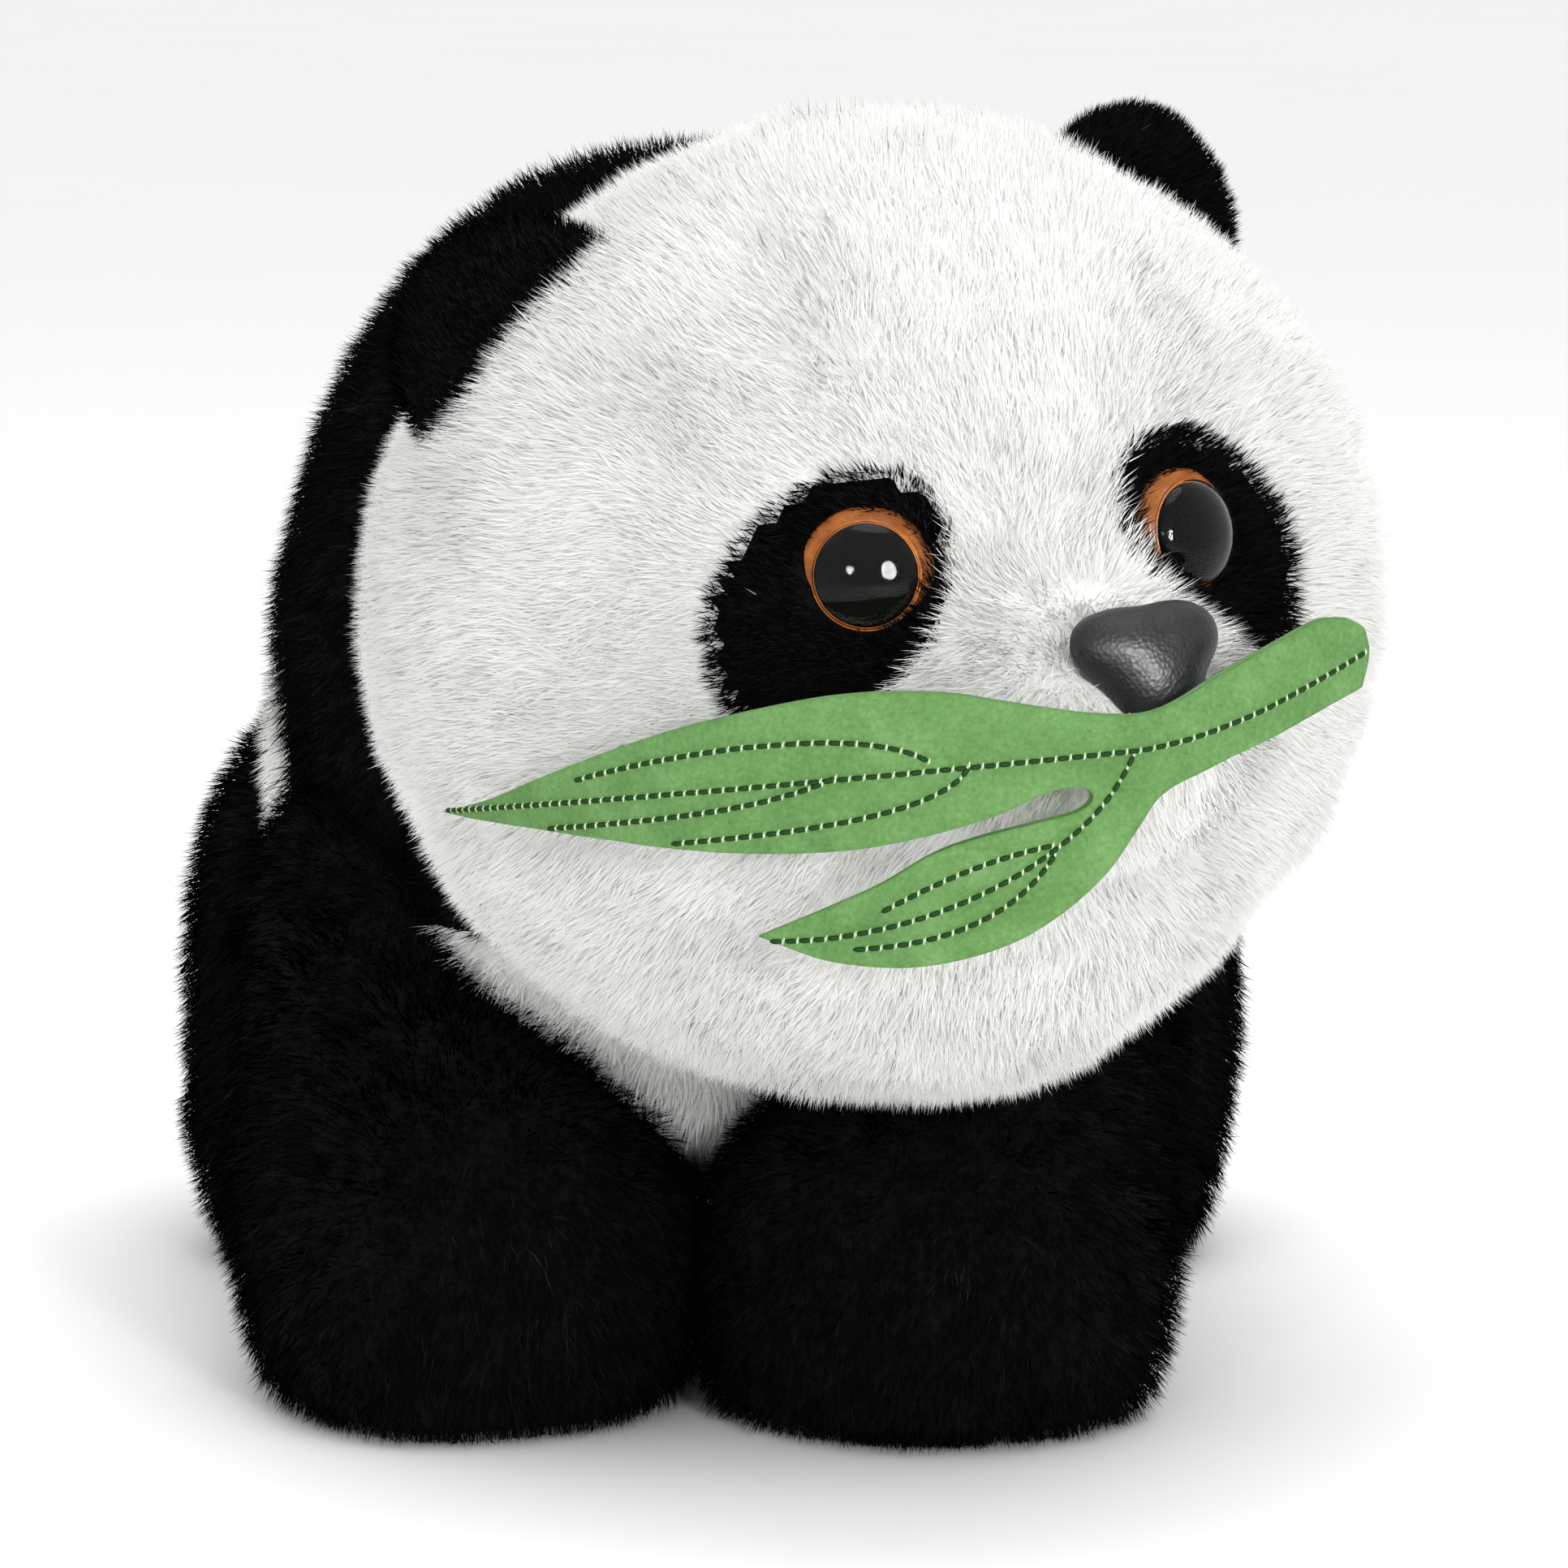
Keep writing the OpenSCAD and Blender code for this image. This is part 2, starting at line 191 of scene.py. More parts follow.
def front_leg_field(side):
    foot_y = -42 if side == LEFT else -36

    def field(p):
        d = round_cone(p, (side * 49, 18, 63), (side * 42, foot_y + 14, 34), 24, 29)
        d = join(d, ellipsoid(p, (side * 34, foot_y + 1, 19), (34, 34.5, 36)), 8)
        return common(d, 1.0 - p[:, 2], 5)

    return field


def rear_leg_field(side):
    mid = side * 57

    def field(p):
        d = ellipsoid(p, (mid, 80, 50), (29, 35, 43))
        d = join(d, ellipsoid(p, (mid * 0.97, 68, 24), (28, 35, 38)), 10)
        return common(d, 1.0 - p[:, 2], 5)

    return field


def sphere_directions(level):
    ball = bmesh.new()
    bmesh.ops.create_icosphere(ball, subdivisions=level, radius=1.0)
    ball.verts.ensure_lookup_table()
    dirs = np.array([v.co for v in ball.verts])
    faces = np.array([[v.index for v in f.verts] for f in ball.faces])
    ball.free()
    return unit(dirs), faces


def reach(field, centre, dirs, longest=160.0):
    """Distance from the centre, along each direction, at which the field's surface is crossed."""
    low, high = np.zeros(len(dirs)), np.full(len(dirs), longest)
    for _ in range(22):
        mid = (low + high) / 2
        inside = field(centre + dirs * mid[:, None]) < 0
        low, high = np.where(inside, mid, low), np.where(inside, high, mid)
    return (low + high) / 2


def vertex_normals(points, faces):
    a, b, c = (points[faces[:, k]] for k in range(3))
    face_n = np.cross(b - a, c - a)
    out = np.zeros_like(points)
    for k in range(3):
        np.add.at(out, faces[:, k], face_n)
    return unit(out)


class Skin:
    """A closed stuffed surface round a centre, lumpy the way stuffing makes it."""

    def __init__(self, field, centre, level, seed, lump=0.9, tuft=0.35, to_toy=None):
        dirs, self.faces = sphere_directions(level)
        centre = np.asarray(centre, float)
        self.local = centre + dirs * reach(field, centre, dirs)[:, None]
        normals = vertex_normals(self.local, self.faces)
        self.local = self.local + normals * (
            lump * noise(self.local, 22, seed)
            + tuft * noise(self.local, 6, seed + 7)
        )[:, None]
        self.points = to_toy(self.local) if to_toy else self.local
        self.normals = vertex_normals(self.points, self.faces)


# ---------- meshes ----------


def new_mesh(name, points, faces, materials):
    """A piece from points in the toy's frame and a list or array of faces."""
    mesh = bpy.data.meshes.new(name)
    mesh.from_pydata(to_row(points).tolist(), [], [list(map(int, f)) for f in faces])
    for m in materials:
        mesh.materials.append(m)
    mesh.shade_smooth()
    obj = bpy.data.objects.new(name, mesh)
    bpy.context.scene.collection.objects.link(obj)
    return obj


def triangle_mesh(name, points, tris, materials, slots=None):
    """The same for very many triangles, with a material slot for each."""
    mesh = bpy.data.meshes.new(name)
    mesh.vertices.add(len(points))
    mesh.vertices.foreach_set("co", to_row(points).astype(np.float32).ravel())
    mesh.loops.add(tris.size)
    mesh.loops.foreach_set("vertex_index", tris.astype(np.int32).ravel())
    mesh.polygons.add(len(tris))
    mesh.polygons.foreach_set("loop_start", np.arange(0, tris.size, 3, dtype=np.int32))
    for m in materials:
        mesh.materials.append(m)
    if slots is not None:
        mesh.polygons.foreach_set("material_index", slots.astype(np.int32))
    mesh.update()
    mesh.shade_smooth()
    obj = bpy.data.objects.new(name, mesh)
    bpy.context.scene.collection.objects.link(obj)
    return obj


# ---------- materials ----------


def material(name):
    m = bpy.data.materials.new(name)
    m.use_nodes = True
    nodes, links = m.node_tree.nodes, m.node_tree.links
    return m, nodes, links, nodes["Principled BSDF"]


def noise_node(nodes, links, scale, detail=4.0, rough=0.6):
    coords = nodes.new("ShaderNodeTexCoord")
    tex = nodes.new("ShaderNodeTexNoise")
    tex.inputs["Scale"].default_value = scale
    tex.inputs["Detail"].default_value = detail
    tex.inputs["Roughness"].default_value = rough
    links.new(coords.outputs["Object"], tex.inputs["Vector"])
    return tex


def ramp_node(nodes, links, source, stops):
    ramp = nodes.new("ShaderNodeValToRGB")
    while len(ramp.color_ramp.elements) < len(stops):
        ramp.color_ramp.elements.new(0.5)
    for e, (pos, colour) in zip(ramp.color_ramp.elements, stops):
        e.position = pos
        e.color = (*colour, 1)
    links.new(source, ramp.inputs["Fac"])
    return ramp.outputs["Color"]


def bump_node(nodes, links, height, shader, strength, distance):
    bump = nodes.new("ShaderNodeBump")
    bump.inputs["Strength"].default_value = strength
    bump.inputs["Distance"].default_value = distance
    links.new(height, bump.inputs["Height"])
    links.new(bump.outputs["Normal"], shader.inputs["Normal"])


def range_node(nodes, links, source, low, high):
    spread = nodes.new("ShaderNodeMapRange")
    spread.inputs["From Min"].default_value = 0.3
    spread.inputs["From Max"].default_value = 0.7
    spread.inputs["To Min"].default_value = low
    spread.inputs["To Max"].default_value = high
    links.new(source, spread.inputs["Value"])
    return spread.outputs["Result"]


def strand_material(name, colour, rough, sheen, sheen_tint, gloss=0.05):
    """One shade of pile. Its roughness varies from tuft to tuft."""
    m, nodes, links, shader = material(name)
    shader.inputs["Base Color"].default_value = (*colour, 1)
    shader.inputs["Specular IOR Level"].default_value = gloss
    shader.inputs["Sheen Weight"].default_value = sheen
    shader.inputs["Sheen Roughness"].default_value = 0.5
    shader.inputs["Sheen Tint"].default_value = (*sheen_tint, 1)
    tufts = noise_node(nodes, links, 160.0)
    links.new(range_node(nodes, links, tufts.outputs["Fac"], rough - 0.12, rough + 0.12),
              shader.inputs["Roughness"])
    return m


def backing_material(name, dark, light, sheen):
    """The skin under the pile, with its fibres as fine colour and bump."""
    m, nodes, links, shader = material(name)
    shader.inputs["Specular IOR Level"].default_value = 0.0
    fibres = noise_node(nodes, links, 900.0, 6.0, 0.7)
    links.new(ramp_node(nodes, links, fibres.outputs["Fac"], [(0.35, dark), (0.65, light)]),
              shader.inputs["Base Color"])
    shader.inputs["Roughness"].default_value = 0.95
    shader.inputs["Sheen Weight"].default_value = sheen
    shader.inputs["Sheen Roughness"].default_value = 0.6
    bump_node(nodes, links, fibres.outputs["Fac"], shader, 0.6, 0.0006)
    return m


WHITE_SHADES = [
    strand_material("white_pile_bright", (0.93, 0.93, 0.915), 0.75, 0.2, (1, 1, 1)),
    strand_material("white_pile_cream", (0.91, 0.905, 0.87), 0.8, 0.2, (1, 1, 0.97)),
    strand_material("white_pile_cool", (0.85, 0.865, 0.875), 0.8, 0.2, (0.95, 0.98, 1)),
]
BLACK_SHADES = [
    strand_material("black_pile_deep", (0.0028, 0.0028, 0.0032), 0.65, 0.0, (0.6, 0.6, 0.65), 0.0),
    strand_material("black_pile_soft", (0.0045, 0.0043, 0.0043), 0.6, 0.0, (0.7, 0.65, 0.62), 0.0),
    strand_material("black_pile_brown", (0.010, 0.008, 0.007), 0.5, 0.01, (0.8, 0.7, 0.65), 0.01),
]
SHORT_SHADES = [
    strand_material("short_black_deep", (0.0028, 0.0028, 0.0034), 0.6, 0.0, (0.6, 0.62, 0.7), 0.0),
    strand_material("short_black_soft", (0.005, 0.005, 0.006), 0.5, 0.0, (0.7, 0.7, 0.75), 0.01),
    # short_black_glint is lighter grey than the other blacks: a painted glint on a few short hairs. Its
    # gloss and sheen are real shading on top of it.
    strand_material("short_black_glint", (0.09, 0.09, 0.10), 0.35, 0.15, (0.9, 0.9, 1), 0.3),
]
WHITE_BACKING = backing_material("white_backing", (0.78, 0.79, 0.77), (0.92, 0.925, 0.90), 0.3)
BLACK_BACKING = backing_material("black_backing", (0.002, 0.002, 0.002), (0.007, 0.006, 0.006), 0.02)


# ---------- pile ----------


FLOOR_GAP = 0.3
LONG_PILE = 5.6
ROOT_DEPTH = 1.0


def sample_roots(skin, density, mask, rng):
    """Points spread over a skin: (place, normal, place in the skin's own frame)."""
    a, b, c = (skin.points[skin.faces[:, k]] for k in range(3))
    area = np.linalg.norm(np.cross(b - a, c - a), axis=1) / 2
    count = rng.poisson(area * density)
    pick = np.repeat(np.arange(len(area)), count)
    u, v = rng.random(len(pick)), rng.random(len(pick))
    flip = u + v > 1
    u, v = np.where(flip, 1 - u, u), np.where(flip, 1 - v, v)
    f = skin.faces[pick]
    weights = (1 - u - v, u, v)
    at = sum(w[:, None] * skin.points[f[:, k]] for k, w in enumerate(weights))
    local = sum(w[:, None] * skin.local[f[:, k]] for k, w in enumerate(weights))
    normal = unit(sum(w[:, None] * skin.normals[f[:, k]] for k, w in enumerate(weights)))
    keep = rng.random(len(at)) < mask(local, at)
    return at[keep], normal[keep], local[keep]


def pile(name, skin, density, mask, flow, shades, seed, length, width, lift=0.6,
         tuft=0.4, shade_mix=(0.5, 0.35, 0.15), face_share=0.2):
    """Many thin tapered hairs on a skin, combed along flow and gathered in small tufts."""
    rng = np.random.default_rng(seed)
    at, n, local = sample_roots(skin, density, mask, rng)
    count = len(at)
    comb = flow(at)
    comb = unit(comb - n * np.sum(comb * n, axis=1, keepdims=True))
    swirl = noise_vector(at, 16, seed) * 0.4 + noise_vector(at, 4.2, seed + 11) * tuft
    stray = rng.normal(0, 0.13, (count, 3))
    long = length * (1 + 0.12 * noise(at, 5, seed + 5) + rng.normal(0, 0.07, count))
    start = unit(n * lift + comb * (1 - lift) + swirl * 0.55 + stray)
    end = unit(start + comb * 0.35 + swirl * 0.4 + stray * 0.6)
    start = unit(start + n * np.clip(0.25 - np.sum(start * n, axis=1, keepdims=True), 0, None))
    end = unit(end + n * np.clip(0.12 - np.sum(end * n, axis=1, keepdims=True), 0, None))
    root = at - n * ROOT_DEPTH
    middle = root + start * (long * 0.55)[:, None]
    tip = middle + end * (long * 0.45)[:, None]
    across = unit(np.cross(start, n))
    spin = rng.uniform(-1.0, 1.0, count)[:, None]
    across = unit(across * np.cos(spin) + np.cross(start, across) * np.sin(spin))
    half = (width / 2 * rng.uniform(0.7, 1.3, count))[:, None] * across
    points = np.stack([root - half, root + half, middle - half * 0.8, middle + half * 0.8, tip], axis=1)
    points[..., 2] = np.maximum(points[..., 2], FLOOR_GAP)
    face_n = unit(np.cross(across, start))
    face_n = face_n * np.sign(np.sum(face_n * n, axis=1, keepdims=True) + 1e-6)
    shade_n = unit(n + face_n * face_share + start * 0.25 + rng.normal(0, 0.05, (count, 3)))
    first = np.arange(count)[:, None, None] * 5
    tris = (first + np.array([[0, 1, 3], [0, 3, 2], [2, 3, 4]])).reshape(-1, 3)
    steps = np.cumsum(shade_mix)
    tone = rng.random(count) * 0.75 + 0.25 * (0.5 + 0.5 * noise(at, 3.0, seed + 3))
    slots = np.repeat(np.clip(np.searchsorted(steps, tone), 0, len(shades) - 1), 3)
    obj = triangle_mesh(name, points.reshape(-1, 3), tris, shades, slots)
    obj.data.normals_split_custom_set_from_vertices(np.repeat(shade_n, 5, axis=0).tolist())
    return obj


def outside(*fields):
    """Mask that keeps hair off the parts of a skin that lie inside its neighbours."""
    def mask(at):
        keep = np.ones(len(at))
        for f in fields:
            keep = keep * (f(at) > -3.0)
        return keep
    return mask


def head_in_toy(p):
    return head_field(toy_to_head(p))


# ---------- the head ----------

head_skin = Skin(head_field, (0, 0, 0), 6, 3, to_toy=head_to_toy)

EYE_AZ, EYE_EL = 21.8, 13.0
EYE_R = 9.3
EYE_SEAT = -1.0


def face_direction(az, el):
    a, e = math.radians(az), math.radians(el)
    return np.array([math.sin(a) * math.cos(e), -math.cos(a) * math.cos(e), math.sin(e)])


def tangent_frame(d, side):
    """Outward and upward directions on the face at d."""
    up = unit(UP - d * d[2])
    out = np.cross(up, d)
    return out * (1 if out[0] * side > 0 else -1), up


def on_face(local, d, side):
    """Millimetres outward and upward from the direction d, for points of the head."""
    out, up = tangent_frame(d, side)
    v = unit(local)
    along = np.maximum(v @ d, 1e-3)
    size = 66.0
    return size * (v @ out) / along, size * (v @ up) / along, v @ d


def patch_mask(local, side, edge=0.0):
    """1 inside an eye patch: an oval that hangs outward and down from the eye, with a ragged rim."""
    s, t, along = on_face(local, face_direction(side * EYE_AZ, EYE_EL), side)
    s, t = s - 5.6, t + 3.9
    lean = math.radians(48)
    u = s * math.cos(lean) - t * math.sin(lean)
    v = s * math.sin(lean) + t * math.cos(lean)
    ragged = 1 + 0.07 * noise(local, 3.0, 31) + edge
    return (along > 0.3) & ((u / 21.0) ** 2 + (v / 15.0) ** 2 < ragged)


def eye_mask(local, side, r=EYE_R - 0.6):
    s, t, along = on_face(local, face_direction(side * EYE_AZ, EYE_EL), side)
    return (along > 0.3) & (s * s + t * t < r * r)


NOSE_TILT = 24.0
NOSE_TURN = 5.0
NOSE_W, NOSE_H = 10.2, 8.4


def nose_mask(local):
    d = face_nose()
    rel = local - MUZZLE
    across = unit(np.cross(d, UP))
    up = np.cross(across, d)
    return (rel @ d > 0) & ((rel @ across / NOSE_W) ** 2 + (rel @ up / NOSE_H) ** 2 < 0.75)


def face_nose():
    t, a = math.radians(NOSE_TILT), math.radians(NOSE_TURN)
    return np.array([math.sin(a) * math.cos(t), -math.cos(a) * math.cos(t), math.sin(t)])


def bare(local):
    hide = nose_mask(local)
    for side in (LEFT, RIGHT):
        hide = hide | patch_mask(local, side) | eye_mask(local, side)
    return hide


CROWN_X, CROWN_Z, BACK_Y, CHIN_Z = 26.0, -8.0, 25.0, -38.0


def muzzle_zone(local):
    return np.linalg.norm(local - np.array([0, -64, -8]), axis=1) < 29


def face_zone(local):
    """The front of the head round the muzzle."""
    return (local[:, 1] <= BACK_Y) & ~muzzle_zone(local)


HEAD_PANELS = {
    "muzzle_panel": muzzle_zone,
    "back_head_panel": lambda p: p[:, 1] > BACK_Y,
    "chin_panel": lambda p: face_zone(p) & (p[:, 2] < CHIN_Z),
    "crown_panel": lambda p: face_zone(p) & (p[:, 2] >= CROWN_Z) & (abs(p[:, 0]) < CROWN_X),
}
HEAD_PANELS["left_cheek_panel"] = lambda p: (p[:, 0] > 0) & ~in_other_panel(p)
HEAD_PANELS["right_cheek_panel"] = lambda p: (p[:, 0] <= 0) & ~in_other_panel(p)


def in_other_panel(p):
    hit = np.zeros(len(p), bool)
    for name in ("muzzle_panel", "back_head_panel", "chin_panel", "crown_panel"):
        hit |= HEAD_PANELS[name](p)
    return hit


def head_flow(at):
    """White pile runs out from the muzzle over the face, and down at the sides."""
    local = toy_to_head(at)
    away = local - MUZZLE
    return (unit(away) + np.array([0, 0.2, -0.35])) @ HEAD_TURN.T


def make_head():
    skin = new_mesh("head_skin", head_skin.points, head_skin.faces, [WHITE_BACKING, BLACK_BACKING])
    centres = head_skin.local[head_skin.faces].mean(axis=1)
    dark = patch_mask(centres, LEFT, -0.12) | patch_mask(centres, RIGHT, -0.12)
    skin.data.polygons.foreach_set("material_index", dark.astype(np.int32))
    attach(skin, "head")
    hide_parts("head_stuffing")
    for k, (panel, zone) in enumerate(HEAD_PANELS.items()):
        dense = 2.4 if panel == "back_head_panel" else 4.6

        def mask(local, at, zone=zone):
            free = outside(torso_field)(at)
            return zone(local) * ~bare(local) * free

        fur = pile(panel + "_pile", head_skin, dense, mask, head_flow, WHITE_SHADES, 40 + k,
                   length=LONG_PILE, width=0.17, tuft=0.3, face_share=0.1)
        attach(fur, "head")
        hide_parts(panel)


def patch_flow(at):
    local = toy_to_head(at)
    return (unit(local - MUZZLE) + np.array([0, 0.1, -0.2])) @ HEAD_TURN.T


def make_eye_patch(side):
    name = SIDES[side] + "_eye_patch"

    def mask(local, at):
        return (patch_mask(local, side) & ~eye_mask(local, side)) * 1.0

    fur = pile(name + "_pile", head_skin, 7.0, mask, patch_flow, SHORT_SHADES, 60 + side, length=4.2,
               width=0.2, lift=0.7, tuft=0.3, shade_mix=(0.6, 0.37, 0.03))
    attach(fur, "head")
    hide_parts(name)


# ---------- turned and domed hard pieces ----------


def lathe(profile, steps=64):
    """Points and faces of (radius, height) pairs turned round +Z. Both ends are on the axis."""
    points, faces, rings = [], [], []
    for r, h in profile:
        if r < 1e-6:
            rings.append([len(points)])
            points.append((0, 0, h))
        else:
            rings.append(list(range(len(points), len(points) + steps)))
            for k in range(steps):
                a = 2 * math.pi * k / steps
                points.append((r * math.cos(a), r * math.sin(a), h))
    for low, high in zip(rings, rings[1:]):
        for k in range(steps):
            j = (k + 1) % steps
            if len(low) == 1 and len(high) == 1:
                continue
            if len(low) == 1:
                faces.append((low[0], high[j], high[k]))
            elif len(high) == 1:
                faces.append((low[k], low[j], high[0]))
            else:
                faces.append((low[k], low[j], high[j], high[k]))
    return np.array(points, float), faces


def aim(points, base, axis, up):
    """Stands points up along an axis from a base, with their +Y towards up."""
    z = unit(axis)
    x = unit(np.cross(up, z))
    y = np.cross(z, x)
    return base + points @ np.stack([x, y, z])


def eye_materials():
    glass, nodes, links, shader = material("clear_dome")
    shader.inputs["Base Color"].default_value = (1, 1, 1, 1)
    shader.inputs["Transmission Weight"].default_value = 1.0
    shader.inputs["IOR"].default_value = 1.17
    tex = noise_node(nodes, links, 300.0)
    links.new(range_node(nodes, links, tex.outputs["Fac"], 0.01, 0.03), shader.inputs["Roughness"])
    amber, nodes, links, shader = material("amber_iris")
    tex = noise_node(nodes, links, 420.0, 8.0)
    links.new(ramp_node(nodes, links, tex.outputs["Fac"],
                        [(0.3, (0.20, 0.055, 0.010)), (0.5, (0.30, 0.09, 0.015)),
                         (0.7, (0.40, 0.14, 0.025))]),
              shader.inputs["Base Color"])
    shader.inputs["Roughness"].default_value = 0.25
    shader.inputs["Specular IOR Level"].default_value = 0.3
    black, nodes, links, shader = material("glossy_pupil")
    shader.inputs["Base Color"].default_value = (0.0015, 0.0015, 0.0015, 1)
    shader.inputs["Specular IOR Level"].default_value = 0.0
    tex = noise_node(nodes, links, 200.0)
    links.new(range_node(nodes, links, tex.outputs["Fac"], 0.03, 0.07), shader.inputs["Roughness"])
    return glass, amber, black


GLASS, AMBER, PUPIL = eye_materials()


def make_eye(side):
    """A safety eye: an amber cup, a black pupil on it and a clear dome over both."""
    d = face_direction(side * EYE_AZ, EYE_EL)
    skin_r = reach(head_field, np.zeros(3), d[None])[0]
    base = d * (skin_r + EYE_SEAT)
    axis = unit(d + np.array([side * 0.04, 0, -0.10]))
    name = SIDES[side] + "_eye_"

    def piece(part, profile, mat, node):
        points, faces = lathe(profile)
        obj = new_mesh(name + part, head_to_toy(aim(points, base, axis, UP)), faces, [mat])
        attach(obj, "head")
        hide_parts(name + node)
        return obj

    arc = [math.radians(90 * k / 14) for k in range(15)]
    cup = [(0, -2.0), (EYE_R - 0.8, -2.0), (EYE_R, -1.2), (EYE_R, 0.2), (EYE_R - 0.25, 0.6),
           (EYE_R - 0.8, 0.85), (8.0, 1.1), (7.5, 1.3), (7.3, 1.9), (0, 1.9)]
    piece("amber_cup", cup, AMBER, "iris")
    pupil = [(0, 1.95), (7.0, 1.95)] + [(7.0 * math.cos(a), 2.1 + 2.7 * math.sin(a)) for a in arc[1:]]
    pupil[-1] = (0, 4.8)
    piece("black_pupil", pupil, PUPIL, "pupil")
    inner = [(7.2 * math.cos(a), 2.0 + 2.95 * math.sin(a)) for a in arc]
    outer = [(7.55 * math.cos(a), 1.95 + 3.4 * math.sin(a)) for a in arc]
    inner[-1], outer[-1] = (0, inner[-1][1]), (0, outer[-1][1])
    piece("clear_dome", inner[::-1] + outer, GLASS, "dome")


# ---------- the nose ----------


def make_nose():
    """A domed, rounded triangle with its point down, of dark satin plastic with a fine leather grain."""
    rings, steps = 26, 96
    points, faces = [], []

    def rim(a):
        lobes = 1 + 0.15 * math.cos(3 * (a + math.pi / 2))
        return NOSE_W * lobes * math.cos(a), NOSE_H * lobes * math.sin(a)

    height = 6.4
    for k in range(rings + 1):
        t = k / rings
        bulge = height * (1 - t ** 2.4) ** 0.55
        for j in range(steps):
            x, y = rim(2 * math.pi * j / steps)
            points.append((x * t, y * t, bulge))
    back = len(points)
    for j in range(steps):
        x, y = rim(2 * math.pi * j / steps)
        points.append((x * 0.9, y * 0.9, -2.5))
    for k in range(1, rings):
        for j in range(steps):
            i = (j + 1) % steps
            faces.append((k * steps + j, (k + 1) * steps + j, (k + 1) * steps + i, k * steps + i))
    points = np.array(points, float)
    centre = len(points)
    points = np.vstack([points, [[0, 0, height], [0, 0, -2.5]]])
    for j in range(steps):
        i = (j + 1) % steps
        faces.append((centre, steps + j, steps + i))
        faces.append((rings * steps + j, back + j, back + i, rings * steps + i))
        faces.append((centre + 1, back + i, back + j))
    m, nodes, links, shader = material("nose_plastic")
    coords = nodes.new("ShaderNodeTexCoord")
    grain = nodes.new("ShaderNodeTexVoronoi")
    grain.inputs["Scale"].default_value = 1500.0
    links.new(coords.outputs["Object"], grain.inputs["Vector"])
    tone = noise_node(nodes, links, 500.0)
    links.new(ramp_node(nodes, links, tone.outputs["Fac"],
                        [(0.3, (0.007, 0.0075, 0.0085)), (0.7, (0.013, 0.0135, 0.0155))]),
              shader.inputs["Base Color"])
    shader.inputs["Roughness"].default_value = 0.45
    shader.inputs["Specular IOR Level"].default_value = 0.3
    bump_node(nodes, links, grain.outputs["Distance"], shader, 0.35, 0.00025)
    d = face_nose()
    seat = reach(head_field, MUZZLE, d[None])[0] + 0.6
    used = np.unique(np.concatenate([np.array(f) for f in faces]))
    remap = np.full(len(points), -1)
    remap[used] = np.arange(len(used))
    faces = [tuple(remap[list(f)]) for f in faces]
    placed = head_to_toy(aim(points[used], MUZZLE + d * seat, d, UP))
    obj = new_mesh("nose_moulded", placed, faces, [m])
    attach(obj, "head")
    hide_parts("nose")


# ---------- ears ----------

EAR_LEAN = {LEFT: 41.0, RIGHT: 49.0}
EAR_OUT = 67.0
EAR_BACK = {LEFT: 6.0, RIGHT: -2.0}
EAR_W, EAR_T, EAR_H = 21.0, 5.5, 20.5


def ear_frame(side):
    lean = math.radians(EAR_LEAN[side])
    radial = np.array([side * math.sin(lean), 0, math.cos(lean)])
    at = radial * EAR_OUT + np.array([0, EAR_BACK[side], 0])
    facing = unit(np.array([side * 0.36, -1.0, 0.05]))
    facing = unit(facing - radial * (facing @ radial))
    along = np.cross(radial, facing)
    return at, along, facing, radial


def ear_field(p):
    """An ear lying in its own frame: x along the seam, y to the front, z outward."""
    cup = p.copy()
    cup[:, 1] = cup[:, 1] - 0.012 * (p[:, 0] ** 2) * np.clip(p[:, 2] / 10 + 0.5, 0, 1)
    return ellipsoid(cup, (0, 0, 0), (EAR_W - 2.5, EAR_T, EAR_H - 2.5))


def make_ear(side):
    at, along, facing, radial = ear_frame(side)
    basis = np.stack([along, facing, radial])
    skin = Skin(ear_field, (0, 0, 0), 5, 80 + side, lump=0.3, tuft=0.15,
                to_toy=lambda p: head_to_toy(at + p @ basis))
    if np.sum(skin.normals * (skin.points - skin.points.mean(axis=0))) < 0:
        skin.faces = skin.faces[:, ::-1]
        skin.normals = -skin.normals
    name = SIDES[side] + "_ear"
    base = new_mesh(name + "_skin", skin.points, skin.faces, [BLACK_BACKING])
    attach(base, name)
    for part, front in (("front", True), ("back", False)):

        def mask(local, at_toy, front=front):
            return ((local[:, 1] > 0) == front) * (head_in_toy(at_toy) > -3.0)

        def flow(at_toy):
            return np.tile(radial @ HEAD_TURN.T, (len(at_toy), 1))

        fur = pile(f"{name}_{part}_pile", skin, 9.0, mask, flow, SHORT_SHADES, 90 + side * 3 + front,
                   length=3.6, width=0.2, lift=0.75, tuft=0.3, shade_mix=(0.55, 0.39, 0.06))
        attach(fur, name)
        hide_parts(f"{name}_{part}")


# ---------- torso, legs and tail ----------

YOKE_Y = 52.0
torso_skin = Skin(torso_field, (-4, 40, 98), 6, 5)


def yoke_zone(p):
    wave = 2.0 * noise(p, 9, 17)
    chest = (p[:, 2] < 69 + wave) & (abs(p[:, 0]) < 46) & (p[:, 1] < 30)
    belly = p[:, 2] < 44 + wave
    forward = 14 * np.clip((118 - p[:, 2]) / 30, 0, 1)
    return (p[:, 1] < YOKE_Y + wave - forward) & ~chest & ~belly


def body_flow(at):
    """Body pile runs to the back along the top and turns down at the sides."""
    down = np.clip(abs(at[:, 0] + 4) / 60, 0, 1)
    return np.stack([0 * down, 1 - 0.6 * down, -0.25 - 0.8 * down], axis=1)


LEG_FIELDS = {("front", s): front_leg_field(s) for s in (LEFT, RIGHT)}
LEG_FIELDS.update({("rear", s): rear_leg_field(s) for s in (LEFT, RIGHT)})


